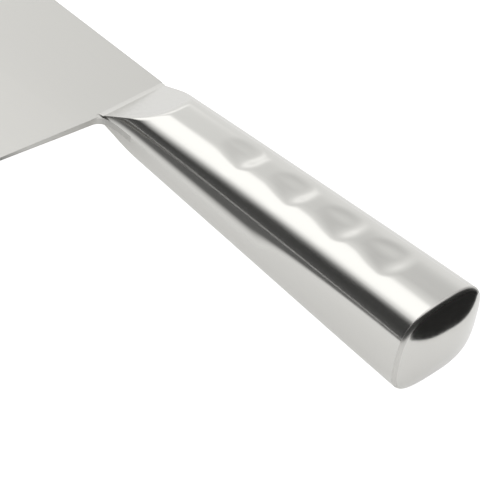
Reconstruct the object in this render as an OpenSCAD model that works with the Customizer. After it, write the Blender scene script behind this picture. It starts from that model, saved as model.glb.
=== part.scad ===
// Chinese cleaver made of stainless steel throughout.
// One sheet blade runs back as a short tang between two pressed half shells,
// and a domed cap closes the butt. Weld beads join the pieces.
//
// The model is in millimetres. X runs along the knife from the blade's front
// edge to the butt, Y points from the cutting edge to the spine, and Z is
// square to the blade. The origin is under the middle of the knife's box.
//
// "Along" below is the distance from the joint line, where the blade meets
// the handle. The joint line and the butt lean a little, so a station at one
// distance along lies on a leaning line across the handle.

/* [Blade] */
// Length of the blade from its front edge to the neck
blade_length = 205; // [175:1:230]
// Depth of the blade from the spine to the cutting edge
blade_depth = 90; // [76:1:112]
// Thickness of the blade sheet
blade_thickness = 2.05; // [1.7:0.05:2.5]
// How far the middle of the cutting edge bows out past its ends
edge_belly = 3; // [1:0.5:6]
// Depth below the spine where the hollow grind starts
grind_start = 26; // [20:1:44]
// Thickness left where the hollow grind meets the cutting bevel
grind_thickness = 0.45; // [0.3:0.05:0.8]
// Height of the cutting bevel
bevel_height = 1.6; // [0.8:0.1:3]
// Thickness of the very edge
edge_thickness = 0.08; // [0.05:0.01:0.2]
// Radius of the front corner at the spine
front_spine_radius = 6; // [2:0.5:12]
// Radius of the front corner at the cutting edge
front_edge_radius = 4; // [1:0.5:8]
// Radius of the heel corner at the cutting edge
heel_radius = 1.5; // [0.5:0.25:4]

/* [Neck] */
// Width of the blade where it meets the handle
neck_width = 26; // [23:0.5:30]
// Radius of the inner corner between the heel and the neck
neck_fillet = 4; // [1:0.25:5]
// Lean of the joint line across the neck, in degrees
joint_lean = 5.5; // [0:0.5:8]
// Angle at which the half shells rise from the blade, in degrees
ramp_angle = 25; // [18:1:35]
// Distance along where the sheet's edge stops being flush with the shells
plate_show = 12; // [8:1:16]
// Distance along where the gap between the shells stops narrowing
slit_length = 26; // [20:1:36]
// Length of the tang inside the handle
tang_length = 62; // [40:1:90]
// Width of the tang at its end
tang_end_width = 11; // [6:0.5:14]
// How much the tang is thinned on each face below the blade's faces
tang_relief = 0.05; // [0.03:0.01:0.1]
// Clearance between the tang's edges and the shells' inner walls
tang_clearance = 0.4; // [0.2:0.1:1]

/* [Handle] */
// Length of the half shells from the joint line to the butt
handle_length = 118; // [100:1:135]
// Width of the handle just behind the neck
front_width = 22; // [20:0.25:26]
// Width of the handle at the butt
butt_width = 31.2; // [27:0.25:35]
// Height of the handle just behind the neck, over both shells
front_height = 17; // [14:0.25:20]
// Height of the handle at the butt, over both shells
butt_height = 25.8; // [21:0.25:28]
// Extra height of the handle halfway along
middle_swell = 1; // [0:0.1:2]
// How square the handle's section is at its top, where 2 is an ellipse's
top_power = 3; // [2.2:0.1:4]
// How square its sides are near the neck
front_side_power = 2.7; // [2:0.1:4]
// How square its sides are at the butt
butt_side_power = 3; // [2:0.1:4]
// Distance along from which the sides turn squarer
squaring_start = 50; // [30:1:70]
// How far each side of the handle flares out to meet the neck
neck_flare = 1.3; // [0:0.1:2]
// Distance over which that flare dies away
flare_run = 4; // [2:0.5:8]
// Offset of the handle's middle towards the spine, at the neck
front_offset = 0.3; // [0:0.1:1]
// Offset of the handle's middle towards the spine, at the butt
butt_offset = 1.3; // [0:0.1:2]
// Lean of the butt across the handle, in degrees
butt_lean = 3; // [0:0.5:6]
// Thickness of the pressed sheet
shell_wall = 1; // [0.8:0.1:1.4]

/* [Finger dimples] */
// Number of dimples on each face
dimple_count = 4; // [2:1:4]
// Distance along of the first dimple's deepest line
dimple_first = 46.5; // [42:0.5:52]
// Spacing of the first two dimples
dimple_pitch = 19; // [17:0.5:20]
// How much shorter each further spacing is than the one before
dimple_pitch_step = 1.2; // [0:0.1:1.6]
// Reach of a dimple's long wall towards the neck
dimple_front = 10; // [7:0.5:12]
// Reach of its short wall towards the butt
dimple_back = 5; // [3:0.5:7]
// Reach of a dimple towards the spine
dimple_spine_side = 9; // [5:0.5:10]
// Reach of a dimple towards the edge side
dimple_edge_side = 10; // [5:0.5:11]
// Depth of a dimple
dimple_depth = 0.5; // [0.3:0.05:1]
// Offset of the dimples' deepest points towards the spine
dimple_offset = 1; // [0:0.1:3]

/* [Butt cap] */
// Rise of the domed cap above the end of the shells
cap_rise = 4.5; // [3.5:0.25:7]
// How flat the dome is in the middle, where 2 is an even dome
cap_power = 2.6; // [2:0.1:4]
// Thickness of the cap's sheet
cap_wall = 1.2; // [0.8:0.1:1.6]

/* [Weld beads] */
// Width of the neck bead on the blade in front of the joint line
neck_bead_front = 1; // [0.8:0.1:2]
// Width of the neck bead on the rising shell behind the joint line
neck_bead_back = 0.9; // [0.6:0.1:1.4]
// How far the bead's face stands out from the straight line between its toes
neck_bead_crown = 0.04; // [0:0.02:0.15]
// Gap between the two half shells that the side beads fill
seam_gap = 0.6; // [0.3:0.1:1]
// Radius of the rounded corner that the butt bead makes
butt_bead_radius = 1.3; // [0.8:0.1:1.6]

/* [Hidden] */

steel_satin = "#c9c8c4";
steel_polished = "#d9dade";
steel_bead = "#b8b6b1";

// Counts of straight steps in the curved shapes
slope_steps = 12;
slit_steps = 10;
body_steps = 32;
half_round_steps = 28;
cap_round_steps = 56;
cap_ring_steps = 8;
bead_round_steps = 4;
corner_steps = 8;
grind_steps = 12;
edge_arc_sides = 720;

// Angle over which the butt bead rounds before the dome takes over
bead_turn = 60;
// Overlap that lets two parts of one piece join without a seam
join = 1;
// Extra height that takes a cutter clear of the blade's faces
clear = 1;

half_sheet = blade_thickness / 2;
half_tang = half_sheet - tang_relief;
neck_half = neck_width / 2;
heel_x = neck_half * tan(joint_lean);
ramp_rise = tan(ramp_angle);
// Height lost under a sloping sheet of the shell's thickness
slope_wall = shell_wall / cos(ramp_angle);

function mix(a, b, s) = a + (b - a) * s;
function clamp01(s) = max(0, min(1, s));
function ease(s) = let (t = clamp01(s)) t * t * (3 - 2 * t);

// Half width, half height and sideways middle of the handle at a distance along
function half_width(along) =
    mix(front_width, butt_width, along / handle_length) / 2
    + neck_flare * exp(-along / flare_run);
function half_height(along) = let (s = along / handle_length)
    mix(front_height, butt_height, s) / 2 + 2 * middle_swell * s * (1 - s);
function middle(along) = mix(front_offset, butt_offset, along / handle_length);

// Lean at a distance along: the joint's lean as far as the slit's end, and
// from there easing to the butt's
function lean(along) = mix(joint_lean, butt_lean,
    ease((along - slit_length) / (handle_length - slit_length)));

// A point of the handle as x, y, z, from its distance along and its y and z
function place(along, y, z) = [along - y * tan(lean(along)), y, z];

// How square the section is at its sides, and at any turn round it
function side_power(along) = mix(front_side_power, butt_side_power,
    ease((along - squaring_start) / (handle_length - squaring_start)));
function power_at(turn, along) =
    mix(side_power(along), top_power, pow(sin(turn), 2));

// Distance from the section's middle to its outline, inset by a wall
function reach(turn, along, inset) =
    let (a = half_width(along) - inset, b = half_height(along) - inset,
         power = power_at(turn, along))
    pow(pow(abs(cos(turn)) / a, power) + pow(abs(sin(turn)) / b, power),
        -1 / power);

// Half width of the section at a low height, inset by a wall
function half_width_at(z, along, inset) =
    let (a = half_width(along) - inset, b = half_height(along) - inset,
         power = side_power(along))
    a * pow(1 - pow(z / b, power), 1 / power);

// Height of the upper shell's seam edge: it lies on the tang where the tang
// shows, and comes down to the seam's bead where the slit closes
function seam_height(along) = mix(half_tang, seam_gap / 2,
    clamp01((along - plate_show) / (slit_length - plate_show)));

// Depth of the dimples' pressing at a point of the face. Each dimple is a
// smooth bowl with a different reach on each of its four sides.
function dimple_line(i) =
    dimple_first + i * dimple_pitch - i * (i - 1) / 2 * dimple_pitch_step;
function dimple_shape(x, y, i) =
    let (from_x = x - dimple_line(i), from_y = y - dimple_offset,
         p = from_x / (from_x < 0 ? dimple_front : dimple_back),
         q = from_y / (from_y < 0 ? dimple_edge_side : dimple_spine_side),
         r = clamp01(1 - p * p - q * q))
    dimple_depth * r * r;
function pressing(x, y) =
    max([for (i = [0 : dimple_count - 1]) dimple_shape(x, y, i)]);

// A point of the shell's outer or inner face. The section is cut off by the
// slope that rises from the joint line, then pressed in at the dimples.
function shell_point(along, step, inner) =
    let (inset = inner ? shell_wall : 0,
         floor_z = seam_height(along),
         side_y = half_width_at(floor_z, along, inset),
         first = atan2(floor_z, side_y),
         turn = mix(180 - first, first, step / half_round_steps),
         r = reach(turn, along, inset),
         y = middle(along) + r * cos(turn),
         slope_z = half_tang + along * ramp_rise - (inner ? slope_wall : 0),
         cut_z = min(r * sin(turn), slope_z),
         at = place(along, y, cut_z),
         z = max(floor_z, cut_z - pressing(at[0], at[1])))
    [at[0], at[1], z];

stations = concat(
    [for (i = [0 : slope_steps - 1]) plate_show * i / slope_steps],
    [for (i = [0 : slit_steps - 1])
        mix(plate_show, slit_length, i / slit_steps)],
    [for (i = [0 : body_steps])
        mix(slit_length, handle_length, i / body_steps)]);

last_station = len(stations) - 1;
last_step = half_round_steps;
row = half_round_steps + 1;

// The two triangles of a patch with four corners
function patch(a, b, c, d) = [[a, b, c], [a, c, d]];
function flat_list(lists) = [for (l = lists) each l];

// A half shell as one closed surface. Its outer and inner faces meet in a
// feather edge on the joint line, where they share their points.
module half_shell() {
    outer = [for (a = stations) for (j = [0 : last_step])
        shell_point(a, j, false)];
    inner = [for (i = [1 : last_station]) for (j = [0 : last_step])
        shell_point(stations[i], j, true)];
    count = len(outer);
    function out_at(i, j) = i * row + j;
    function in_at(i, j) = i == 0 ? j : count + (i - 1) * row + j;
    outer_faces = flat_list([for (i = [0 : last_station - 1])
        for (j = [0 : last_step - 1])
            patch(out_at(i, j), out_at(i + 1, j),
                  out_at(i + 1, j + 1), out_at(i, j + 1))]);
    inner_faces = flat_list([for (i = [0 : last_station - 1])
        for (j = [0 : last_step - 1])
            patch(in_at(i, j), in_at(i, j + 1),
                  in_at(i + 1, j + 1), in_at(i + 1, j))]);
    butt_faces = flat_list([for (j = [0 : last_step - 1])
        patch(out_at(last_station, j), in_at(last_station, j),
              in_at(last_station, j + 1), out_at(last_station, j + 1))]);
    first_seam = flat_list([for (i = [1 : last_station - 1])
        patch(out_at(i, 0), in_at(i, 0), in_at(i + 1, 0), out_at(i + 1, 0))]);
    second_seam = flat_list([for (i = [1 : last_station - 1])
        patch(out_at(i, last_step), out_at(i + 1, last_step),
              in_at(i + 1, last_step), in_at(i, last_step))]);
    feather_corners = [
        [out_at(0, 0), in_at(1, 0), out_at(1, 0)],
        [out_at(0, last_step), out_at(1, last_step), in_at(1, last_step)]];
    polyhedron(concat(outer, inner), concat(outer_faces, inner_faces,
        butt_faces, first_seam, second_seam, feather_corners), convexity = 6);
}

module upper_half_shell() {
    color(steel_polished) half_shell();
}

module lower_half_shell() {
    color(steel_polished) mirror([0, 0, 1]) half_shell();
}

// Points of a circular arc, both ends included
function arc(centre, radius, from, to) = [for (i = [0 : corner_steps])
    centre + radius * [cos(mix(from, to, i / corner_steps)),
                       sin(mix(from, to, i / corner_steps))]];

// Circle that the cutting edge follows, through the front and the heel
chord = blade_length + heel_x;
edge_radius = (chord * chord / 4 + edge_belly * edge_belly) / (2 * edge_belly);
edge_centre = [heel_x - chord / 2, neck_half - blade_depth + edge_radius];
front_y = neck_half - blade_depth + edge_belly;

module blade_outline() {
    spine_corner = [-blade_length + front_spine_radius,
                    neck_half - front_spine_radius];
    edge_corner = [-blade_length + front_edge_radius,
                   front_y + front_edge_radius];
    heel_corner = [heel_x - heel_radius, front_y + heel_radius];
    polygon(concat(
        [[-heel_x - neck_bead_front, neck_half]],
        arc(spine_corner, front_spine_radius, 90, 180),
        arc(edge_corner, front_edge_radius, 180, 270),
        [[edge_corner[0], front_y - edge_belly - clear],
         [heel_corner[0], front_y - edge_belly - clear]],
        arc(heel_corner, heel_radius, 270, 360),
        [[heel_x, -neck_half], [heel_x - neck_bead_front, -neck_half]]));
}

// Half of the blade's section as radius from the edge circle's centre and
// height: flat sides, a hollow grind and a cutting bevel
bevel_radius = edge_radius - bevel_height;
grind_radius = edge_radius - blade_depth + grind_start;
function grind_half(s) = mix(half_sheet, grind_thickness / 2, ease(s));
grind_points = [for (i = [0 : grind_steps]) let (s = i / grind_steps)
    [mix(grind_radius, bevel_radius, s), grind_half(s)]];
section_half = concat(
    [[edge_radius - blade_depth - clear, half_sheet]],
    grind_points,
    [[edge_radius, edge_thickness / 2]]);
function mirrored(points) = [for (i = [len(points) - 1 : -1 : 0])
    [points[i][0], -points[i][1]]];

module blade_section() {
    translate([edge_centre[0], edge_centre[1], 0])
        rotate_extrude($fn = edge_arc_sides)
            polygon(concat(section_half, mirrored(section_half)));
}

// Outline of the sheet behind the joint line. Beside the neck it runs flush
// into the shells' sides, and inside the handle it narrows to the tang's end.
function neck_edge(along, side) =
    let (flush = half_width_at(half_tang, along, 0) + side * middle(along))
    side < 0 ? flush
        : mix(neck_half, flush, ease(along / (plate_show / 2)));
function neck_point(along, side) =
    let (at = place(along, side * neck_edge(along, side), 0)) [at[0], at[1]];
function tang_start_y(side) =
    side * (half_width_at(half_tang, plate_show, shell_wall)
            - tang_clearance) + middle(plate_show);
function tang_point(along, y) = let (at = place(along, y, 0)) [at[0], at[1]];

module tang_outline() {
    fillet_centre = [heel_x + neck_fillet,
                     -neck_edge(neck_fillet, -1) - neck_fillet];
    fillet_end = neck_fillet;
    flush_steps = [for (i = [1 : corner_steps])
        mix(fillet_end, plate_show, i / corner_steps)];
    polygon(concat(
        [[-heel_x - neck_bead_front - join, neck_half]],
        [for (a = flush_steps) neck_point(a, 1)],
        [tang_point(plate_show, tang_start_y(1)),
         tang_point(tang_length, tang_end_width / 2),
         tang_point(tang_length, -tang_end_width / 2),
         tang_point(plate_show, tang_start_y(-1))],
        [for (i = [corner_steps - 1 : -1 : 0]) neck_point(flush_steps[i], -1)],
        arc(fillet_centre, neck_fillet, 90, 180),
        [[heel_x - neck_bead_front - join, fillet_centre[1]]]));
}

module blade() {
    color(steel_satin) union() {
        intersection() {
            translate([0, 0, -half_sheet])
                linear_extrude(blade_thickness) blade_outline();
            blade_section();
        }
        translate([0, 0, -half_tang])
            linear_extrude(2 * half_tang) tang_outline();
    }
}

// Points of the butt's outline, inset from the shells' end and raised off it
function butt_point(turn, inset, rise) =
    let (r = reach(turn, handle_length, inset),
         at = place(handle_length, middle(handle_length) + r * cos(turn),
                    r * sin(turn)))
    [at[0] + rise, at[1], at[2]];
function round_turn(j) = 360 * j / cap_round_steps;

// Inset and rise of the bead's rounded face, from the shells' corner inwards
function bead_inset(turn) = butt_bead_radius * (1 - cos(turn));
function bead_rise(turn) = butt_bead_radius * sin(turn);
bead_width = bead_inset(bead_turn);
bead_height = bead_rise(bead_turn);

// A closed ring: the profile's points, as inset and rise, carried round the
// butt's outline
module butt_ring(profile) {
    sides = len(profile);
    points = [for (j = [0 : cap_round_steps - 1]) for (p = profile)
        butt_point(round_turn(j), p[0], p[1])];
    function ring_at(j, k) =
        (j % cap_round_steps) * sides + k % sides;
    faces = flat_list([for (j = [0 : cap_round_steps - 1])
        for (k = [0 : sides - 1])
            patch(ring_at(j, k), ring_at(j, k + 1),
                  ring_at(j + 1, k + 1), ring_at(j + 1, k))]);
    polyhedron(points, faces, convexity = 6);
}

module butt_bead() {
    rounded = [for (i = [0 : bead_round_steps])
        let (turn = bead_turn * i / bead_round_steps)
            [bead_inset(turn), bead_rise(turn)]];
    color(steel_bead) butt_ring(concat(rounded, [[bead_width, 0]]));
}

// The domed cap. It stands on the shells' end inside the bead, and its dome
// carries on from the bead's rounded face. Rings shrink to a single point.
module butt_cap() {
    function dome(s, low, high) = mix(low, high, 1 - pow(s, cap_power));
    function cap_ring(s, inset, rise) = [for (j = [0 : cap_round_steps - 1])
        let (rim = butt_point(round_turn(j), inset, 0),
             hub = place(handle_length, middle(handle_length), 0))
        [mix(hub[0], rim[0], s) + rise, mix(hub[1], rim[1], s), rim[2] * s]];
    hub = place(handle_length, middle(handle_length), 0);
    inner_rise = cap_rise - cap_wall;
    outer_rings = flat_list([for (i = [cap_ring_steps : -1 : 1])
        let (s = i / cap_ring_steps)
            cap_ring(s, bead_width, dome(s, bead_height, cap_rise))]);
    inner_rings = flat_list([for (i = [cap_ring_steps : -1 : 1])
        let (s = i / cap_ring_steps)
            cap_ring(s, shell_wall, dome(s, 0, inner_rise))]);
    foot = cap_ring(1, bead_width, 0);
    points = concat(outer_rings, inner_rings, foot,
        [[hub[0] + cap_rise, hub[1], 0], [hub[0] + inner_rise, hub[1], 0]]);
    inner_first = cap_ring_steps * cap_round_steps;
    foot_first = 2 * inner_first;
    outer_hub = foot_first + cap_round_steps;
    inner_hub = outer_hub + 1;
    function turn_on(j) = (j + 1) % cap_round_steps;
    function at(first, i, j) = first + i * cap_round_steps + j;
    around = [0 : cap_round_steps - 1];
    rings = [0 : cap_ring_steps - 2];
    innermost = cap_ring_steps - 1;
    outer_faces = flat_list([for (i = rings) for (j = around)
        patch(at(0, i, j), at(0, i + 1, j),
              at(0, i + 1, turn_on(j)), at(0, i, turn_on(j)))]);
    inner_faces = flat_list([for (i = rings) for (j = around)
        patch(at(inner_first, i, j), at(inner_first, i, turn_on(j)),
              at(inner_first, i + 1, turn_on(j)), at(inner_first, i + 1, j))]);
    hub_faces = flat_list([for (j = around)
        [[at(0, innermost, j), outer_hub, at(0, innermost, turn_on(j))],
         [at(inner_first, innermost, j),
          at(inner_first, innermost, turn_on(j)), inner_hub]]]);
    side_faces = flat_list([for (j = around)
        patch(foot_first + j, j, turn_on(j), foot_first + turn_on(j))]);
    seat_faces = flat_list([for (j = around)
        patch(inner_first + j, foot_first + j,
              foot_first + turn_on(j), inner_first + turn_on(j))]);
    color(steel_polished) polyhedron(points, concat(outer_faces, inner_faces,
        hub_faces, side_faces, seat_faces), convexity = 6);
}

// The bead across the neck lies in the corner between the blade's face and
// the shell's slope. Its root fills the step where the sheet is relieved.
module neck_bead() {
    foot_z = half_sheet;
    step_z = half_tang;
    back_z = half_tang + neck_bead_back * ramp_rise;
    crown = [(neck_bead_back - neck_bead_front) / 2,
             (foot_z + back_z) / 2 + neck_bead_crown];
    bead_length = 2 * half_width_at(half_tang, 0, 0);
    profile = [[-neck_bead_front, foot_z], [-neck_bead_front, step_z],
               [0, step_z], [neck_bead_back, back_z], crown];
    multmatrix([[1, -tan(joint_lean), 0, 0], [0, 1, 0, 0], [0, 0, 1, 0]])
        translate([0, middle(0) + bead_length / 2, 0])
            rotate([90, 0, 0]) linear_extrude(bead_length) polygon(profile);
}

module neck_bead_upper() {
    color(steel_bead) neck_bead();
}

module neck_bead_lower() {
    color(steel_bead) mirror([0, 0, 1]) neck_bead();
}

// A bead along one side's seam, as deep as the shells' wall and ground flush.
// It starts where the plate ends and narrows with the gap.
module seam_bead(side) {
    spots = [for (a = stations) if (a >= plate_show) a];
    function seam_y(along, inset) =
        middle(along) + side * half_width_at(seam_height(along), along, inset);
    points = [for (a = spots) let (h = seam_height(a)) each [
        place(a, seam_y(a, 0), h), place(a, seam_y(a, 0), -h),
        place(a, seam_y(a, shell_wall), -h),
        place(a, seam_y(a, shell_wall), h)]];
    last = len(spots) - 1;
    function corner(i, k) = 4 * i + k % 4;
    sides = flat_list([for (i = [0 : last - 1]) for (k = [0 : 3])
        patch(corner(i, k), corner(i + 1, k),
              corner(i + 1, k + 1), corner(i, k + 1))]);
    ends = concat(patch(0, 1, 2, 3),
        patch(corner(last, 3), corner(last, 2),
              corner(last, 1), corner(last, 0)));
    // The far side is a mirror image, so its faces are listed backwards
    faces = concat(sides, ends);
    polyhedron(points, side > 0 ? faces : [for (f = faces) [f[2], f[1], f[0]]],
        convexity = 4);
}

module seam_bead_spine() {
    color(steel_bead) seam_bead(1);
}

module seam_bead_edge() {
    color(steel_bead) seam_bead(-1);
}

// Places the origin under the middle of the knife's box
hub_x = handle_length - middle(handle_length) * tan(butt_lean) + cap_rise;
box_middle_x = (hub_x - blade_length) / 2;
box_top_y = middle(handle_length) + half_width(handle_length);
box_middle_y = (box_top_y + neck_half - blade_depth) / 2;
box_bottom_z = -half_height(handle_length);

module in_frame() {
    translate([-box_middle_x, -box_middle_y, -box_bottom_z]) children();
}

in_frame() blade();
in_frame() upper_half_shell();
in_frame() lower_half_shell();
in_frame() butt_cap();
in_frame() neck_bead_upper();
in_frame() neck_bead_lower();
in_frame() seam_bead_spine();
in_frame() seam_bead_edge();
in_frame() butt_bead();
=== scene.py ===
# %% [markdown]
# # A steel cleaver, from sheet to polish
#
# This lesson dresses a Chinese cleaver whose pieces are already known at their
# real size. The knife is one sheet blade whose tang runs into a hollow handle
# of two pressed half shells, closed by a domed cap, and weld beads join them.
# The frame gives every piece's place, so nothing here is moved or resized. A
# piece whose mesh is already right keeps it and gets a finish. A piece that
# shows its curves in a mirror polish is drawn again in finer steps, because
# a mirror shows every flat facet.

import math

import bpy
import numpy as np
from mathutils import Matrix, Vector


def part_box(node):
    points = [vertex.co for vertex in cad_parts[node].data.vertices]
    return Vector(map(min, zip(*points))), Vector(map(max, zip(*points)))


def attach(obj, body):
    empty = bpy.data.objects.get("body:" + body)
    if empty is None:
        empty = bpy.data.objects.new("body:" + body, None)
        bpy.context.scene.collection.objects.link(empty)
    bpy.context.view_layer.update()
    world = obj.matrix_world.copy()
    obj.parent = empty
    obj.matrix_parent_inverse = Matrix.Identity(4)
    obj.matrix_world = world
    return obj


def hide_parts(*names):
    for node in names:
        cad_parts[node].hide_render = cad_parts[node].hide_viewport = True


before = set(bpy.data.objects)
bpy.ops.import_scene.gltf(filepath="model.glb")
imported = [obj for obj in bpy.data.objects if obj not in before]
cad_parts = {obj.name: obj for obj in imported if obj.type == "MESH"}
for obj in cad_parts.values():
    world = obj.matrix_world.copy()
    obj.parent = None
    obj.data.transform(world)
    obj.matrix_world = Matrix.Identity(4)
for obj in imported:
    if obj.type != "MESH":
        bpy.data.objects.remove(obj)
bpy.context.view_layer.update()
print("frame nodes:", sorted(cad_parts))

# %% [markdown]
# ## One ruler for the whole knife
#
# A knife maker measures from the joint line, where the blade meets the handle,
# so that is where these sizes start. They could be read off the finished
# meshes, but a few sizes and short formulas let every piece below follow the
# same curves and meet its neighbours exactly. All are in millimetres, and
# "along" is the distance from the joint line towards the butt.

# %% Sizes of the neck and the handle
MM = 0.001

NECK_WIDTH = 26.0
HANDLE_LENGTH = 118.0
SHELL_WALL = 1.0

# Width and height over both shells, just behind the neck and at the butt
FRONT_WIDTH = 22.0
BUTT_WIDTH = 31.2
FRONT_HEIGHT = 17.0
BUTT_HEIGHT = 25.8

# Extra height halfway along, and the flare that meets the wider neck
MIDDLE_SWELL = 1.0
NECK_FLARE = 1.3
FLARE_RUN = 4.0

# Offset of the handle's middle towards the spine, at the neck and at the butt
FRONT_OFFSET = 0.3
BUTT_OFFSET = 1.3

# Lean of the joint line and of the butt across the handle, in degrees
JOINT_LEAN = 5.5
BUTT_LEAN = 3.0

print("handle, mm:", HANDLE_LENGTH, "long,", BUTT_WIDTH, "by", BUTT_HEIGHT, "at the butt")

# %% [markdown]
# The blade's sheet runs on between the shells as a tang, so near the neck the
# shells lie on its faces. From where its bare edge ends, the gap between the
# shells narrows to the width of a seam.

# %% Sizes of the slope and the seam
RAMP_ANGLE = 25.0
RAMP_RISE = math.tan(math.radians(RAMP_ANGLE))

HALF_TANG = 0.975
HALF_SEAM = 0.3
BARE_EDGE_END = 12.0
NARROWING_END = 26.0


def mix(a, b, s):
    return a + (b - a) * s


def ease(s):
    t = np.clip(s, 0, 1)
    return t * t * (3 - 2 * t)


def seam_height(along):
    closing = np.clip((along - BARE_EDGE_END) / (NARROWING_END - BARE_EDGE_END), 0, 1)
    return mix(HALF_TANG, HALF_SEAM, closing)


print("half the gap at the neck and at the butt, mm:", seam_height(0.0), seam_height(HANDLE_LENGTH))

# %% [markdown]
# ## The handle's section
#
# Cut across, the handle is a squared oval: neither an ellipse nor a rounded
# box. A superellipse gives that with one number, its power, where 2 is an
# ellipse and larger is squarer. A curve drawn by hand would do for one
# section, but here the width, the height and the power all change along the
# handle, and a formula keeps the whole side smooth.

# %% Width, height and middle
def half_width(along):
    taper = mix(FRONT_WIDTH, BUTT_WIDTH, along / HANDLE_LENGTH) / 2
    return taper + NECK_FLARE * np.exp(-along / FLARE_RUN)


def half_height(along):
    s = along / HANDLE_LENGTH
    return mix(FRONT_HEIGHT, BUTT_HEIGHT, s) / 2 + 2 * MIDDLE_SWELL * s * (1 - s)


def middle(along):
    return mix(FRONT_OFFSET, BUTT_OFFSET, along / HANDLE_LENGTH)


print("half width and height at the butt, mm:", half_width(HANDLE_LENGTH), half_height(HANDLE_LENGTH))

# %% How square the section is
TOP_POWER = 3.0
FRONT_SIDE_POWER = 2.7
BUTT_SIDE_POWER = 3.0
SQUARING_START = 50.0


def section_power(along, turn):
    squaring = ease((along - SQUARING_START) / (HANDLE_LENGTH - SQUARING_START))
    side = mix(FRONT_SIDE_POWER, BUTT_SIDE_POWER, squaring)
    return mix(side, TOP_POWER, np.sin(turn) ** 2)


def section_reach(turn, a, b, power):
    c = np.abs(np.cos(turn) / a) ** power
    s = np.abs(np.sin(turn) / b) ** power
    return (c + s) ** (-1 / power)


def side_reach(z, a, b, power):
    return a * (1 - (np.abs(z) / b) ** power) ** (1 / power)


print("power at the side, halfway along:", round(float(section_power(HANDLE_LENGTH / 2, 0.0)), 3))

# %% Lean of the sections
def lean_slope(along):
    turn = ease((along - NARROWING_END) / (HANDLE_LENGTH - NARROWING_END))
    return np.tan(np.radians(mix(JOINT_LEAN, BUTT_LEAN, turn)))


print("lean at the butt, mm for each mm across:", round(float(lean_slope(HANDLE_LENGTH)), 4))

# %% [markdown]
# ## From the maker's ruler to the frame
#
# The frame counts in metres from under the middle of the knife. Writing that
# offset down by hand would go wrong as soon as a size changes, so it is read
# off the pieces: the spine and the middle of the sheet come from the blade's
# box, and the joint line comes from the front of the half shell.

# %% Origin
blade_low, blade_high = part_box("blade")
shell_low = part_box("upper_half_shell")[0]
front_reach = half_width(0.0) + middle(0.0)
ORIGIN = np.array([
    shell_low.x / MM + front_reach * lean_slope(0.0),
    blade_high.y / MM - NECK_WIDTH / 2,
    (blade_low.z + blade_high.z) / 2 / MM,
])


def to_frame(points):
    return (np.asarray(points, float) + ORIGIN) * MM


print("joint line's middle in the frame, mm:", ORIGIN.round(2))

# %% [markdown]
# ## Helpers that build a mesh
#
# A grid of points, wrapped in four-sided faces, is the plainest way to make a
# pressed sheet: each row is one section across the handle, and the rows follow
# its length. A subdivided box could be pushed into the same form, but then no
# point would lie exactly on the measured curve. Faces are shaded smooth, and
# an edge sharper than the angle below stays crisp, as a cut edge does.

# %% Mesh helpers
CUT_EDGE_ANGLE = 40.0
WELD_DISTANCE = 1e-7


def make_mesh(name, points, faces):
    mesh = bpy.data.meshes.new(name)
    mesh.from_pydata(to_frame(points).tolist(), [], faces)
    mesh.validate()
    mesh.shade_smooth()
    mesh.set_sharp_from_angle(angle=math.radians(CUT_EDGE_ANGLE))
    piece = bpy.data.objects.new(name, mesh)
    bpy.context.scene.collection.objects.link(piece)
    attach(piece, "root")
    print(f"{name}: {len(points)} points, {len(mesh.polygons)} faces")
    return piece


def join_touching_points(piece, title):
    weld = piece.modifiers.new(title, "WELD")
    weld.merge_threshold = WELD_DISTANCE


# %% Faces of a grid
def grid_faces(rows, columns, first=0, around=False, flip=False):
    faces = []
    last = columns if around else columns - 1
    for i in range(rows - 1):
        for j in range(last):
            k = (j + 1) % columns
            a = first + i * columns + j
            b = first + i * columns + k
            quad = (a, a + columns, b + columns, b)
            faces.append(quad[::-1] if flip else quad)
    return faces


print("faces of a grid of 3 by 3 points:", len(grid_faces(3, 3)))

# %% [markdown]
# ## Four finger dimples
#
# A press pushes four shallow hollows into each face of the handle, one for
# each fingertip. A bump texture would bend the reflections too, but the shape
# itself would stay flat from the side and in any exported model, so these are
# real hollows. Each is a smooth bowl that fades to nothing at its rim. Its wall
# towards the neck is long and its wall towards the butt is short, which gives
# each dimple its grey patch and bright wedge.

# %% Dimples
DIMPLE_COUNT = 4
DIMPLE_DEPTH = 0.5
DIMPLE_OFFSET = 1.0

# The first one's place along, the first spacing, and how much each one shrinks
DIMPLE_FIRST = 46.5
DIMPLE_PITCH = 19.0
DIMPLE_PITCH_STEP = 1.2

# Reach of a bowl in its four directions
DIMPLE_FRONT = 10.0
DIMPLE_BACK = 5.0
DIMPLE_SPINE_SIDE = 9.0
DIMPLE_EDGE_SIDE = 10.0


def dimple_line(i):
    return DIMPLE_FIRST + i * DIMPLE_PITCH - i * (i - 1) / 2 * DIMPLE_PITCH_STEP


def pressing(x, y):
    depth = np.zeros_like(x)
    for i in range(DIMPLE_COUNT):
        line = dimple_line(i)
        p = (x - line) / np.where(x < line, DIMPLE_FRONT, DIMPLE_BACK)
        q = (y - DIMPLE_OFFSET) / np.where(y < DIMPLE_OFFSET, DIMPLE_EDGE_SIDE, DIMPLE_SPINE_SIDE)
        bowl = np.clip(1 - p * p - q * q, 0, 1)
        depth = np.maximum(depth, DIMPLE_DEPTH * bowl * bowl)
    return depth


print("dimples at, mm along:", [round(dimple_line(i), 1) for i in range(DIMPLE_COUNT)])

# %% [markdown]
# ## The half shells
#
# Each half of the handle is one sheet pressed over a form. Near the neck the
# section is cut off by the flat slope that rises from the blade. Cutting with
# a boolean would leave a knife-sharp corner, but bending a sheet leaves a soft
# one, and that soft corner is what catches the light. So the slope and the
# section are blended by a formula that rounds their meeting line.

# %% Sections of one face
CREASE = 0.6
ROUND_STEPS = 120


def soft_min(a, b, width):
    h = np.clip(width - np.abs(a - b), 0, None) / width
    return np.minimum(a, b) - h * h * width / 4


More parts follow.
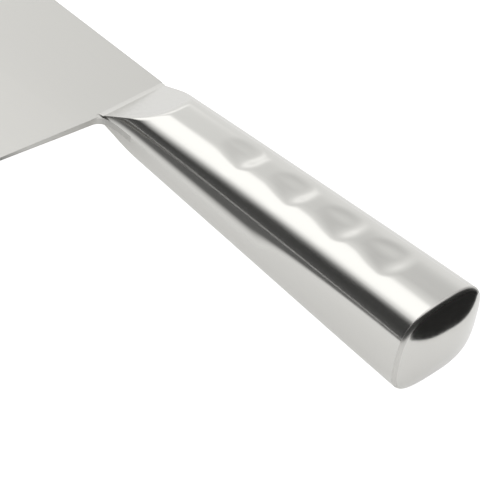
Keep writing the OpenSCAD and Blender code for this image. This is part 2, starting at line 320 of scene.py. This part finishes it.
def shell_rows(stations, inset):
    steps = np.linspace(0, 1, ROUND_STEPS + 1)[None, :]
    along = stations[:, None]
    a = half_width(along) - inset
    b = half_height(along) - inset
    floor = seam_height(along)
    first = np.arctan2(floor, side_reach(floor, a, b, section_power(along, 0.0)))
    turn = mix(math.pi - first, first, steps)
    reach = section_reach(turn, a, b, section_power(along, turn))
    y = middle(along) + reach * np.cos(turn)
    x = along - y * lean_slope(along)
    drop = inset / math.cos(math.radians(RAMP_ANGLE))
    slope = HALF_TANG + along * RAMP_RISE - drop
    z = soft_min(reach * np.sin(turn), slope, CREASE) - pressing(x, y)
    z = np.maximum(z, floor)
    z[:, [0, -1]] = floor
    return np.stack([x, y, z], -1)


# %% [markdown]
# The form changes fastest on the slope and the flare, so the sections lie
# closer there. The outer and inner faces are two grids, joined by strips along
# the seam and at the butt. On the joint line both faces share their points,
# which makes the feather edge that the maker grinds before welding. The lower
# shell is the upper one mirrored, with its faces listed the other way round.

# %% Stations and strips
FRONT_PART = 30.0
FRONT_STATIONS = 110
BODY_STATIONS = 110

front_part = np.linspace(0, FRONT_PART, FRONT_STATIONS, endpoint=False)
body_part = np.linspace(FRONT_PART, HANDLE_LENGTH, BODY_STATIONS)
SHELL_STATIONS = np.concatenate([front_part, body_part])


def strip_faces(rows, columns, count, flip):
    faces = []
    for i in range(rows - 1):
        for j in (0, columns - 1):
            a = i * columns + j
            quad = (a, a + columns, a + columns + count, a + count)
            faces.append(quad if (j == 0) == flip else quad[::-1])
    end = (rows - 1) * columns
    for j in range(columns - 1):
        quad = (end + j, end + j + 1, end + j + 1 + count, end + j + count)
        faces.append(quad if flip else quad[::-1])
    return faces


print("sections in each shell:", len(SHELL_STATIONS))

# %% Half shells
def build_shell(name, node, side):
    outer = shell_rows(SHELL_STATIONS, 0.0)
    inner = shell_rows(SHELL_STATIONS, SHELL_WALL)
    inner[0] = outer[0]
    rows, columns = outer.shape[:2]
    count = rows * columns
    points = np.concatenate([outer.reshape(-1, 3), inner.reshape(-1, 3)])
    points[:, 2] *= side
    flip = side < 0
    faces = grid_faces(rows, columns, 0, flip=not flip)
    faces += grid_faces(rows, columns, count, flip=flip)
    faces += strip_faces(rows, columns, count, flip)
    piece = make_mesh(name, points, faces)
    join_touching_points(piece, "join the feather edge")
    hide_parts(node)
    return piece


upper = build_shell("pressed_upper_half_shell", "upper_half_shell", 1)
lower = build_shell("pressed_lower_half_shell", "lower_half_shell", -1)

# %% [markdown]
# ## The seam beads
#
# The two halves meet in a narrow gap, and a bead of weld closes it on each
# side. It is ground flush, so its face follows the section's own curve from
# one shell to the other and hardly shows. A tube laid along the seam would
# stand proud like a raw weld. Here the bead is a thin strip of the section
# itself, as deep as the shell's wall, carried from the end of the blade's bare
# edge to the butt.

# %% Seam beads
SEAM_STEPS = 6
SEAM_STATIONS = 220


def seam_sheet(stations, z, side, inset):
    a = half_width(stations) - inset
    b = half_height(stations) - inset
    y = middle(stations) + side * side_reach(z, a, b, section_power(stations, 0.0))
    x = stations - y * lean_slope(stations)
    return np.stack([x, y, z], -1)


def build_seam_bead(name, node, side):
    stations = np.linspace(BARE_EDGE_END, HANDLE_LENGTH, SEAM_STATIONS)[:, None]
    z = seam_height(stations) * np.linspace(-1, 1, SEAM_STEPS + 1)[None, :]
    outer = seam_sheet(stations, z, side, 0.0)
    inner = seam_sheet(stations, z, side, SHELL_WALL)
    loop = np.concatenate([outer, inner[:, ::-1]], axis=1)
    rows, columns = loop.shape[:2]
    faces = grid_faces(rows, columns, around=True, flip=side < 0)
    near_end = tuple(range(columns))
    far_end = tuple(range((rows - 1) * columns, rows * columns))
    faces.append(near_end if side > 0 else near_end[::-1])
    faces.append(far_end[::-1] if side > 0 else far_end)
    piece = make_mesh(name, loop.reshape(-1, 3), faces)
    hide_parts(node)
    return piece


spine_bead = build_seam_bead("flush_seam_bead_spine", "seam_bead_spine", 1)
edge_bead = build_seam_bead("flush_seam_bead_edge", "seam_bead_edge", -1)

# %% [markdown]
# ## The butt
#
# The cap is a shallow dome pressed from sheet. It stands on the shells' end,
# inside a bead that is ground to a rounded corner, so the bead shows as a thin
# light band between the shell and the dome. A bevel on the shell would round
# the corner too, but it would leave no line where cap and bead meet. So both
# are stacks of rings that follow the butt's own outline, each ring a little
# further in and a little higher.

# %% Rings of the butt
BUTT_AROUND = 192


def butt_ring(inset, rise, scale=1.0):
    turn = np.linspace(0, 2 * math.pi, BUTT_AROUND, endpoint=False)
    a = half_width(HANDLE_LENGTH) - inset
    b = half_height(HANDLE_LENGTH) - inset
    reach = section_reach(turn, a, b, section_power(HANDLE_LENGTH, turn)) * scale
    y = middle(HANDLE_LENGTH) + reach * np.cos(turn)
    x = HANDLE_LENGTH - y * lean_slope(HANDLE_LENGTH) + rise
    return np.stack([x, y, reach * np.sin(turn)], -1)


def build_ring_piece(name, node, rings, ends=()):
    points = np.concatenate(rings)
    faces = grid_faces(len(rings), BUTT_AROUND, around=True, flip=True)
    for ring, hub, outward in ends:
        centre = len(points)
        first = ring % len(rings) * BUTT_AROUND
        points = np.vstack([points, hub])
        for j in range(BUTT_AROUND):
            fan = (first + j, first + (j + 1) % BUTT_AROUND, centre)
            faces.append(fan if outward else fan[::-1])
    piece = make_mesh(name, points, faces)
    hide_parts(node)
    return piece


# %% Butt bead
BEAD_RADIUS = 1.3
BEAD_TURN = math.radians(60)
BEAD_WIDTH = BEAD_RADIUS * (1 - math.cos(BEAD_TURN))
BEAD_HEIGHT = BEAD_RADIUS * math.sin(BEAD_TURN)
BEAD_RINGS = 28

bead_rings = []
for turn in np.linspace(0, BEAD_TURN, BEAD_RINGS):
    bead_rings.append(butt_ring(BEAD_RADIUS * (1 - math.cos(turn)), BEAD_RADIUS * math.sin(turn)))
bead_rings += [butt_ring(BEAD_WIDTH, 0.0), bead_rings[0]]
butt_bead = build_ring_piece("ground_butt_bead", "butt_bead", bead_rings)
join_touching_points(butt_bead, "close the ring")

# %% [markdown]
# The dome is flat in the middle and turns down faster towards its rim, which
# one power gives. The rings crowd together at the rim, where the curve bends
# most. The sheet's underside is a second, lower dome, and a fan of triangles
# closes each dome in its middle.

# %% Domed cap
CAP_RISE = 4.5
CAP_WALL = 1.2
CAP_POWER = 2.6
CAP_RINGS = 48
RIM_CROWDING = 1.5

ring_scales = 1 - np.linspace(0, 1, CAP_RINGS) ** RIM_CROWDING


def dome_rings(inset, low, high):
    return [butt_ring(inset, mix(low, high, 1 - s ** CAP_POWER), s) for s in ring_scales[:-1]]


top_rings = dome_rings(BEAD_WIDTH, BEAD_HEIGHT, CAP_RISE)
under_rings = dome_rings(SHELL_WALL, 0.0, CAP_RISE - CAP_WALL)
cap_rings = under_rings[::-1] + [butt_ring(BEAD_WIDTH, 0.0)] + top_rings
butt_middle = middle(HANDLE_LENGTH)
hub = np.array([HANDLE_LENGTH - butt_middle * lean_slope(HANDLE_LENGTH), butt_middle, 0.0])
cap_ends = [
    (0, hub + [CAP_RISE - CAP_WALL, 0, 0], False),
    (-1, hub + [CAP_RISE, 0, 0], True),
]
cap = build_ring_piece("domed_butt_cap", "butt_cap", cap_rings, cap_ends)

# %% [markdown]
# ## Steel, as the eye sees it
#
# All the finishes are the same 18/8 stainless steel. A metal has no colour
# under its shine, so its hex value is the tint of the reflection itself, a
# light warm grey. What tells the finishes apart is how finely the surface was
# worked: a roughness of 0 is a mirror, and 1 is a blasted face. The helpers
# turn sRGB hex values into the linear light that Blender works in, turn a
# mark's size into repeats for each metre, start an empty material, and add
# one node with its settings and links.

# %% Material helpers
def linear(hex_colour):
    channels = [int(hex_colour[i:i + 2], 16) / 255 for i in (1, 3, 5)]
    return [c / 12.92 if c <= 0.04045 else ((c + 0.055) / 1.055) ** 2.4 for c in channels] + [1.0]


def per_metre(size):
    return 1 / (size * MM)


def add_node(tree, kind, settings=None, links=None):
    node = tree.nodes.new(kind)
    for key, value in (settings or {}).items():
        if isinstance(key, int) or key in node.inputs:
            node.inputs[key].default_value = value
        else:
            setattr(node, key, value)
    for key, source in (links or {}).items():
        tree.links.new(source, node.inputs[key])
    return node


def new_material(name):
    material = bpy.data.materials.new(name)
    material.use_nodes = True
    tree = material.node_tree
    tree.nodes.clear()
    print("material:", name)
    return material, tree


# %% [markdown]
# ### The buffed handle
#
# A cloth wheel with compound takes the pressed shells and the cap nearly to a
# mirror. To the eye that is a deep reflection with soft edges, clouded a
# little by marks that run along the handle. A picture of scratches could be
# wrapped round the piece, but stretched noise needs no picture and shows no
# seam. The real marks are far finer than a render shows, so they are drawn
# about 17 mm long and 1 mm wide.

# %% Buffed steel
BUFF_MARK_LENGTH = 16.6667
BUFF_MARK_WIDTH = 1.11111
BUFF_MARK_DEPTH = 0.2
BUFF_MARK_STRENGTH = 0.02

# Buffed steel starts near a roughness of 0.1, and its haze reaches 0.2
BUFFED_CLEAR = 0.1
BUFFED_HAZY = 0.2


def buffed_steel():
    material, tree = new_material("buffed_stainless_steel")
    place = add_node(tree, "ShaderNodeTexCoord")
    stretch = (per_metre(BUFF_MARK_LENGTH), per_metre(BUFF_MARK_WIDTH), per_metre(BUFF_MARK_WIDTH))
    lines = add_node(tree, "ShaderNodeMapping", {"Scale": stretch},
                     {"Vector": place.outputs["Object"]})
    haze = add_node(tree, "ShaderNodeTexNoise", {"Scale": 1.0, "Detail": 3.0},
                    {"Vector": lines.outputs[0]})
    rough = add_node(tree, "ShaderNodeMapRange", {"To Min": BUFFED_CLEAR, "To Max": BUFFED_HAZY},
                     {"Value": haze.outputs["Fac"]})
    bump = add_node(tree, "ShaderNodeBump",
                    {"Strength": BUFF_MARK_STRENGTH, "Distance": BUFF_MARK_DEPTH * MM},
                    {"Height": haze.outputs["Fac"]})
    steel = add_node(tree, "ShaderNodeBsdfPrincipled",
                     {"Base Color": linear("#d2d1cd"), "Metallic": 1.0},
                     {"Roughness": rough.outputs[0], "Normal": bump.outputs[0]})
    add_node(tree, "ShaderNodeOutputMaterial", None, {"Surface": steel.outputs[0]})
    return material


BUFFED = buffed_steel()

# %% [markdown]
# ### The satin blade
#
# The blade's sides are ground on a fine belt along their length. That breaks
# the reflection up, so the blade shows an even, pale sheen where the handle
# shows a picture of the room. The belt's lines are a few hundredths of a
# millimetre wide, which is finer than a pixel, so they are drawn about 0.4 mm
# wide and 25 mm long, and kept very shallow.

# %% Belt-ground steel
BELT_LINE_LENGTH = 25.0
BELT_LINE_WIDTH = 0.384615
BELT_LINE_DEPTH = 0.1
BELT_LINE_STRENGTH = 0.05

# Satin steel lies between a roughness of about 0.3 and 0.4
SATIN_FINE = 0.3
SATIN_COARSE = 0.42


def belt_ground_steel():
    material, tree = new_material("belt_ground_stainless_steel")
    place = add_node(tree, "ShaderNodeTexCoord")
    stretch = (per_metre(BELT_LINE_LENGTH), per_metre(BELT_LINE_WIDTH), per_metre(BELT_LINE_WIDTH))
    grain = add_node(tree, "ShaderNodeMapping", {"Scale": stretch},
                     {"Vector": place.outputs["Object"]})
    lines = add_node(tree, "ShaderNodeTexNoise", {"Scale": 1.0, "Detail": 4.0},
                     {"Vector": grain.outputs[0]})
    rough = add_node(tree, "ShaderNodeMapRange", {"To Min": SATIN_FINE, "To Max": SATIN_COARSE},
                     {"Value": lines.outputs["Fac"]})
    bump = add_node(tree, "ShaderNodeBump",
                    {"Strength": BELT_LINE_STRENGTH, "Distance": BELT_LINE_DEPTH * MM},
                    {"Height": lines.outputs["Fac"]})
    steel = add_node(tree, "ShaderNodeBsdfPrincipled",
                     {"Base Color": linear("#c6c5c1"), "Metallic": 1.0},
                     {"Roughness": rough.outputs[0], "Normal": bump.outputs[0]})
    add_node(tree, "ShaderNodeOutputMaterial", None, {"Surface": steel.outputs[0]})
    return material


BELT_GROUND = belt_ground_steel()

# %% [markdown]
# ### The ground beads
#
# The beads at the neck and round the butt are weld metal, ground back by hand
# with a small disc. The disc leaves short marks in all directions, about 1 mm
# apart, so the beads look a shade cloudier than the buffed shells beside them.
# The side beads are buffed together with the shells and get their finish.

# %% Ground weld steel
DISC_MARK_SPACING = 1.11111

# Disc-ground steel lies between the buffed and the belt-ground one
DISC_FINE = 0.25
DISC_COARSE = 0.35


def ground_weld_steel():
    material, tree = new_material("ground_weld_steel")
    place = add_node(tree, "ShaderNodeTexCoord")
    marks = add_node(tree, "ShaderNodeTexNoise",
                     {"Scale": per_metre(DISC_MARK_SPACING), "Detail": 3.0},
                     {"Vector": place.outputs["Object"]})
    rough = add_node(tree, "ShaderNodeMapRange", {"To Min": DISC_FINE, "To Max": DISC_COARSE},
                     {"Value": marks.outputs["Fac"]})
    steel = add_node(tree, "ShaderNodeBsdfPrincipled",
                     {"Base Color": linear("#c9c8c4"), "Metallic": 1.0},
                     {"Roughness": rough.outputs[0]})
    add_node(tree, "ShaderNodeOutputMaterial", None, {"Surface": steel.outputs[0]})
    return material


GROUND_WELD = ground_weld_steel()

# %% [markdown]
# ### Each piece gets its finish
#
# The blade and the two neck beads are the frame's own pieces. Their shape is
# right as it is, so only their material changes.

# %% Dress the pieces
def dress(piece, material):
    piece.data.materials.clear()
    piece.data.materials.append(material)
    print(piece.name, "is", material.name)


for piece in (upper, lower, cap, spine_bead, edge_bead):
    dress(piece, BUFFED)
dress(butt_bead, GROUND_WELD)
for node in ("neck_bead_upper", "neck_bead_lower"):
    dress(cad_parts[node], GROUND_WELD)
dress(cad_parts["blade"], BELT_GROUND)

# %% [markdown]
# ## The studio
#
# Polished steel shows the room, so the room is the real subject here. A plain
# grey surround would make the handle look like plastic. This one has a white
# table, a wide soft light overhead, a pale paper sweep behind the knife, and
# an unlit room on the other sides, which gives the dark streak that makes the
# handle look like metal. A black card stands where a photographer would put it,
# and a sheet of painted shade lies on the table. Both are out of the camera's
# sight, so only the steel shows them.

# %% Sheet helper
def stage_sheet(name, corners, material):
    mesh = bpy.data.meshes.new(name)
    mesh.from_pydata(corners, [], [(0, 1, 2, 3)])
    mesh.materials.append(material)
    sheet = bpy.data.objects.new(name, mesh)
    bpy.context.scene.collection.objects.link(sheet)
    print("stage:", name)
    return sheet


def hide_from_view(sheet):
    sheet.visible_camera = False
    sheet.visible_shadow = False
    sheet.visible_diffuse = False


# %% [markdown]
# ### The white table
#
# The table is matt white paper, so it is a diffuse surface and nothing shines
# in it. A product photograph burns such a table out to pure white. Enough lamps
# to do that would also wash out the steel, so the paper itself gives off a
# little light, and more towards the camera. It lies a hair below the knife.

# %% Table
TABLE_HALF_SIDE = 1.5
TABLE_DROP = 0.2
PAPER_GRAIN = 2.5

# White paper sends back 93 to 95 in 100 of the light
PAPER_DARKEST = 0.93
PAPER_PALEST = 0.95

# Light that the paper gives off itself, and more of it towards the camera
TABLE_GLOW = 0.35
TABLE_GLOW_SEEN = 0.9


def white_paper():
    material, tree = new_material("white_table")
    place = add_node(tree, "ShaderNodeTexCoord")
    paper = add_node(tree, "ShaderNodeTexNoise", {"Scale": per_metre(PAPER_GRAIN)},
                     {"Vector": place.outputs["Object"]})
    tone = add_node(tree, "ShaderNodeMapRange",
                    {"To Min": PAPER_DARKEST, "To Max": PAPER_PALEST},
                    {"Value": paper.outputs["Fac"]})
    skin = add_node(tree, "ShaderNodeBsdfDiffuse", None, {"Color": tone.outputs[0]})
    rays = add_node(tree, "ShaderNodeLightPath")
    fill = add_node(tree, "ShaderNodeMapRange",
                    {"To Min": TABLE_GLOW, "To Max": TABLE_GLOW_SEEN},
                    {"Value": rays.outputs["Is Camera Ray"]})
    glow = add_node(tree, "ShaderNodeEmission", {"Color": linear("#ffffff")},
                    {"Strength": fill.outputs[0]})
    both = add_node(tree, "ShaderNodeAddShader", None, {0: skin.outputs[0], 1: glow.outputs[0]})
    add_node(tree, "ShaderNodeOutputMaterial", None, {"Surface": both.outputs[0]})
    return material


half = TABLE_HALF_SIDE
table_corners = [(-half, -half, 0), (half, -half, 0), (half, half, 0), (-half, half, 0)]
table = stage_sheet("table", table_corners, white_paper())
table.location.z = -TABLE_DROP * MM

# %% [markdown]
# ### The black card
#
# A card covered in black velvet stands just outside the picture beyond the
# butt. Only the polished dome sees it, as the dark crescent across its upper
# half. Painting that crescent on the dome would look wrong from any other
# side, and a mirrored card moves as a real reflection does.

# %% Black card
BLACK_CARD_DISTANCE = 40.0
BLACK_CARD_BEARING = 40.0
BLACK_CARD_WIDTH = 90.0
BLACK_CARD_HEIGHT = 90.0
BLACK_CARD_LIFT = 0.5


def black_velvet():
    material, tree = new_material("black_velvet_card")
    skin = add_node(tree, "ShaderNodeBsdfDiffuse", {"Color": linear("#2c2c2c")})
    add_node(tree, "ShaderNodeOutputMaterial", None, {"Surface": skin.outputs[0]})
    return material


bearing = math.radians(BLACK_CARD_BEARING)
away = np.array([math.cos(bearing), math.sin(bearing)])
across = np.array([-away[1], away[0]])
foot = np.array([HANDLE_LENGTH + CAP_RISE, 0.0]) + away * BLACK_CARD_DISTANCE
left_foot = foot - across * BLACK_CARD_WIDTH / 2
right_foot = foot + across * BLACK_CARD_WIDTH / 2
low = BLACK_CARD_LIFT - ORIGIN[2]
high = low + BLACK_CARD_HEIGHT
card_corners = [(*left_foot, low), (*right_foot, low), (*right_foot, high), (*left_foot, high)]
black_card = stage_sheet("black_card", to_frame(card_corners).tolist(), black_velvet())
hide_from_view(black_card)

# %% [markdown]
# ### The painted shade sheet
#
# A sheet of painted shade lies on the table in front of the heel, out of the
# lamp's light. The front of the handle's side mirrors it, so the dark streak is
# widest there and narrows towards the butt. The sheet is drawn with its final
# tone, as light given off, because it is only ever seen in the steel: a dark
# painted tone for the shade, fading to a painted copy of the table's brightness.
# Its two inner edges fade out over some millimetres, so no hard line crosses the
# handle.

# %% Painted shade sheet
PAINTED_SHADE_END = 56.0
PAINTED_SHADE_NEAR = -24.0
PAINTED_SHADE_REACH = 500.0
PAINTED_SHADE_FADE = 18.0
PAINTED_SHADE_LIFT = 0.2

# Tone of the painted shade, and the painted table tone into which it fades
PAINTED_SHADE_TONE = 0.14
PAINTED_TABLE_TONE = 1.0


# Painted shade: a glowing sheet seen only in the steel, dark where the table lies in shade, as bright
# as the table where it fades
def painted_shade_emission():
    material, tree = new_material("grey_felt_card")
    place = add_node(tree, "ShaderNodeTexCoord")
    axes = add_node(tree, "ShaderNodeSeparateXYZ", None, {0: place.outputs["Object"]})
    fades = []
    for k, line in ((0, PAINTED_SHADE_END + ORIGIN[0]), (1, PAINTED_SHADE_NEAR + ORIGIN[1])):
        fades.append(add_node(
            tree, "ShaderNodeMapRange",
            {"interpolation_type": "SMOOTHSTEP", "From Min": (line - PAINTED_SHADE_FADE) * MM,
             "From Max": line * MM},
            {"Value": axes.outputs[k]}))
    pale = add_node(tree, "ShaderNodeMath", {"operation": "MAXIMUM"},
                    {0: fades[0].outputs[0], 1: fades[1].outputs[0]})
    tone = add_node(tree, "ShaderNodeMapRange", {"To Min": PAINTED_SHADE_TONE, "To Max": PAINTED_TABLE_TONE},
                    {"Value": pale.outputs[0]})
    skin = add_node(tree, "ShaderNodeEmission", {"Color": linear("#ffffff")},
                    {"Strength": tone.outputs[0]})
    add_node(tree, "ShaderNodeOutputMaterial", None, {"Surface": skin.outputs[0]})
    return material


# Corners of the sheet of painted shade, just above the table and hidden from the camera
far_x = PAINTED_SHADE_END - PAINTED_SHADE_REACH
far_y = PAINTED_SHADE_NEAR - PAINTED_SHADE_REACH
low = PAINTED_SHADE_LIFT - ORIGIN[2]
card_corners = [(far_x, far_y, low), (PAINTED_SHADE_END, far_y, low),
                (PAINTED_SHADE_END, PAINTED_SHADE_NEAR, low), (far_x, PAINTED_SHADE_NEAR, low)]
painted_shade_sheet = stage_sheet("painted_shade_sheet", to_frame(card_corners).tolist(), painted_shade_emission())
hide_from_view(painted_shade_sheet)

# %% [markdown]
# ## The room's light
#
# Area lamps would light the knife, but a mirror also shows each lamp's shape
# and everything dark between them. So the whole room is drawn as one pattern
# on the sky. Think of a flat map hung overhead: "over_x" and "over_y" say
# where a direction meets that map, one step of height above the knife.
#
# The pattern is written as a recipe. Each line names a value, says how it is
# worked out, and gives what goes in, which is a number or an earlier name. A
# SMOOTHSTEP line rises from 0 to 1 between its two numbers, and falls where
# the first number is the larger.

# %% The map overhead
HORIZON = 0.001

room = [
    ("up", "MAXIMUM", "z", HORIZON),
    ("over_x", "DIVIDE", "x", "up"),
    ("over_y", "DIVIDE", "y", "up"),
]
print("lines in the recipe:", len(room))

# %% [markdown]
# ### The softbox
#
# The main lamp is a wide box of white cloth. The handle's rounded corner shows
# it as the long white band. Its near edge runs slantwise, along the line where
# over_y is a little more than over_x, and each edge fades as a real one's does.

# %% Softbox
SOFTBOX_SLANT = 1.11
SOFTBOX_LIGHT = 1.55

room += [
    ("slanted", "MULTIPLY", "over_x", SOFTBOX_SLANT),
    ("from_slant", "SUBTRACT", "over_y", "slanted"),
    ("near_edge", "SMOOTHSTEP", "from_slant", 0.1, 0.65),
    ("far_edge", "SMOOTHSTEP", "over_y", 0.86, 0.6),
    ("left_edge", "SMOOTHSTEP", "over_x", -2.2, -1.6),
    ("right_edge", "SMOOTHSTEP", "over_x", 0.7, 0.4),
    ("box_depth", "MULTIPLY", "near_edge", "far_edge"),
    ("box_left", "MULTIPLY", "box_depth", "left_edge"),
    ("softbox", "MULTIPLY", "box_left", "right_edge"),
    ("softbox_light", "MULTIPLY", "softbox", SOFTBOX_LIGHT),
]
print("lines in the recipe:", len(room))

# %% [markdown]
# ### The paper sweep
#
# Behind the knife hangs a roll of pale paper, which the blade and the handle's
# flat top show as an even light grey. It fills every direction that leans far
# enough towards it. On the butt's side it is a little dimmer, since it hangs
# further from the lamp, and one small lamp brightens a patch of it on the
# blade's side.

# %% Which directions meet the paper
SWEEP_X = -0.73
SWEEP_Y = 0.68

room += [
    ("lean_x", "MULTIPLY", "x", SWEEP_X),
    ("lean_y", "MULTIPLY", "y", SWEEP_Y),
    ("leaning", "ADD", "lean_x", "lean_y"),
    ("x_square", "MULTIPLY", "x", "x"),
    ("y_square", "MULTIPLY", "y", "y"),
    ("flat_square", "ADD", "x_square", "y_square"),
    ("flat", "SQRT", "flat_square"),
    ("flat_length", "MAXIMUM", "flat", HORIZON),
    ("share", "DIVIDE", "leaning", "flat_length"),
    ("sweep", "SMOOTHSTEP", "share", 0.2, 0.35),
]
print("lines in the recipe:", len(room))

# %% How bright the paper is
PAPER_LIGHT = 0.95
PAPER_DIMMING = 0.4
PAPER_LAMP = 0.4

room += [
    ("dim_right", "SMOOTHSTEP", "over_x", -1.35, -0.35),
    ("dim_far", "SMOOTHSTEP", "over_y", 0.8, 1.0),
    ("dim", "MULTIPLY", "dim_right", "dim_far"),
    ("dimming", "MULTIPLY", "dim", PAPER_DIMMING),
    ("plain_paper", "SUBTRACT", PAPER_LIGHT, "dimming"),
    ("lamp_right", "SMOOTHSTEP", "over_x", -1.3, -1.7),
    ("lamp_left", "SMOOTHSTEP", "over_x", -3.2, -2.4),
    ("lamp_near", "SMOOTHSTEP", "over_y", 0.8, 1.0),
    ("lamp_far", "SMOOTHSTEP", "over_y", 1.9, 1.5),
    ("lamp_across", "MULTIPLY", "lamp_right", "lamp_left"),
    ("lamp_along", "MULTIPLY", "lamp_near", "lamp_far"),
    ("lamp", "MULTIPLY", "lamp_across", "lamp_along"),
    ("lamp_light", "MULTIPLY", "lamp", PAPER_LAMP),
    ("paper", "ADD", "plain_paper", "lamp_light"),
    ("sweep_light", "MULTIPLY", "sweep", "paper"),
]
print("lines in the recipe:", len(room))

# %% [markdown]
# ### The unlit walls, and the light on the table
#
# The rest of the room is nearly black, and a little paler low down, where the
# table lights it. A mirror has to show all this, but matt things only need an
# even light, which also keeps the shadow soft. So a ray that left the steel as
# a reflection gets the pattern, and any other ray gets one plain value.

# %% Walls and fill
WALL_LIGHT = 0.03
LOW_WALL_LIGHT = 0.08
FILL_LIGHT = 0.7

room += [
    ("height", "MINIMUM", "up", 1.0),
    ("low", "SUBTRACT", 1.0, "height"),
    ("low_square", "MULTIPLY", "low", "low"),
    ("low_light", "MULTIPLY", "low_square", LOW_WALL_LIGHT),
    ("walls", "ADD", "low_light", WALL_LIGHT),
    ("lit", "MAXIMUM", "sweep_light", "softbox_light"),
    ("pattern", "ADD", "walls", "lit"),
    ("seen_in_steel", "MULTIPLY", "pattern", "mirrored"),
    ("not_mirrored", "SUBTRACT", 1.0, "mirrored"),
    ("fill", "MULTIPLY", "not_mirrored", FILL_LIGHT),
    ("total", "ADD", "seen_in_steel", "fill"),
]
print("lines in the recipe:", len(room))

# %% [markdown]
# Blender has one node for sums and another for a fade, so each line of the
# recipe becomes a node of one of the two. Its numbers are typed into the node,
# and its names are wired to the nodes that were made for earlier lines.

# %% Build the room
def read_line(known, how, first, *others):
    if how == "SMOOTHSTEP":
        start, end = others
        settings = {"interpolation_type": how, "From Min": start, "From Max": end}
        return "ShaderNodeMapRange", settings, {"Value": known[first]}
    settings = {"operation": how}
    links = {}
    for k, part in enumerate((first, *others)):
        if part in known:
            links[k] = known[part]
        else:
            settings[k] = part
    return "ShaderNodeMath", settings, links


def build_room():
    world = bpy.data.worlds.new("studio")
    bpy.context.scene.world = world
    world.use_nodes = True
    tree = world.node_tree
    tree.nodes.clear()
    place = add_node(tree, "ShaderNodeTexCoord")
    axes = add_node(tree, "ShaderNodeSeparateXYZ", None, {0: place.outputs["Generated"]})
    rays = add_node(tree, "ShaderNodeLightPath")
    known = dict(zip("xyz", axes.outputs))
    known["mirrored"] = rays.outputs["Is Glossy Ray"]
    for name, *line in room:
        known[name] = add_node(tree, *read_line(known, *line)).outputs[0]
    back = add_node(tree, "ShaderNodeBackground", {"Color": linear("#ffffff")},
                    {"Strength": known["total"]})
    add_node(tree, "ShaderNodeOutputWorld", None, {"Surface": back.outputs[0]})
    print("nodes in the room's light:", len(tree.nodes))


build_room()

# %% [markdown]
# ## The camera
#
# A long lens about half a metre away looks down across the butt, turned a few
# degrees about its own axis. A short lens from nearby would fill the picture
# too, but it would swell the butt and shrink the neck. The camera's three axes
# are worked out from its bearing, height and roll, and go into its matrix.

# %% Camera
AIM = (71.7, -20.7, 6.0)
CAMERA_BEARING = -47.77
CAMERA_HEIGHT = 38.86
CAMERA_ROLL = 9.21
CAMERA_DISTANCE = 505.2
LENS = 144.0
SENSOR = 36.0
NEAREST_SEEN = 0.01


def camera_axes():
    bearing = math.radians(CAMERA_BEARING)
    height = math.radians(CAMERA_HEIGHT)
    roll = math.radians(CAMERA_ROLL)
    back = np.array([
        math.cos(height) * math.cos(bearing),
        math.cos(height) * math.sin(bearing),
        math.sin(height),
    ])
    level = np.array([-math.sin(bearing), math.cos(bearing), 0.0])
    right = math.cos(roll) * level + math.sin(roll) * np.cross(back, level)
    return right, np.cross(back, right), back


right, above, back = camera_axes()
lens_data = bpy.data.cameras.new("camera")
lens_data.lens = LENS
lens_data.sensor_width = SENSOR
lens_data.clip_start = NEAREST_SEEN
camera = bpy.data.objects.new("camera", lens_data)
bpy.context.scene.collection.objects.link(camera)
turn = Matrix([[right[k], above[k], back[k]] for k in range(3)]).to_4x4()
spot = to_frame(np.array(AIM) + back * CAMERA_DISTANCE)
camera.matrix_world = Matrix.Translation(spot.tolist()) @ turn
bpy.context.scene.camera = camera
print("camera in the frame, m:", spot.round(4))

# %% [markdown]
# ## Tones
#
# The Standard view keeps a white table white, where a film-like view would
# grey it.

# %% Tones
bpy.context.scene.view_settings.view_transform = "Standard"
print("view:", bpy.context.scene.view_settings.view_transform)
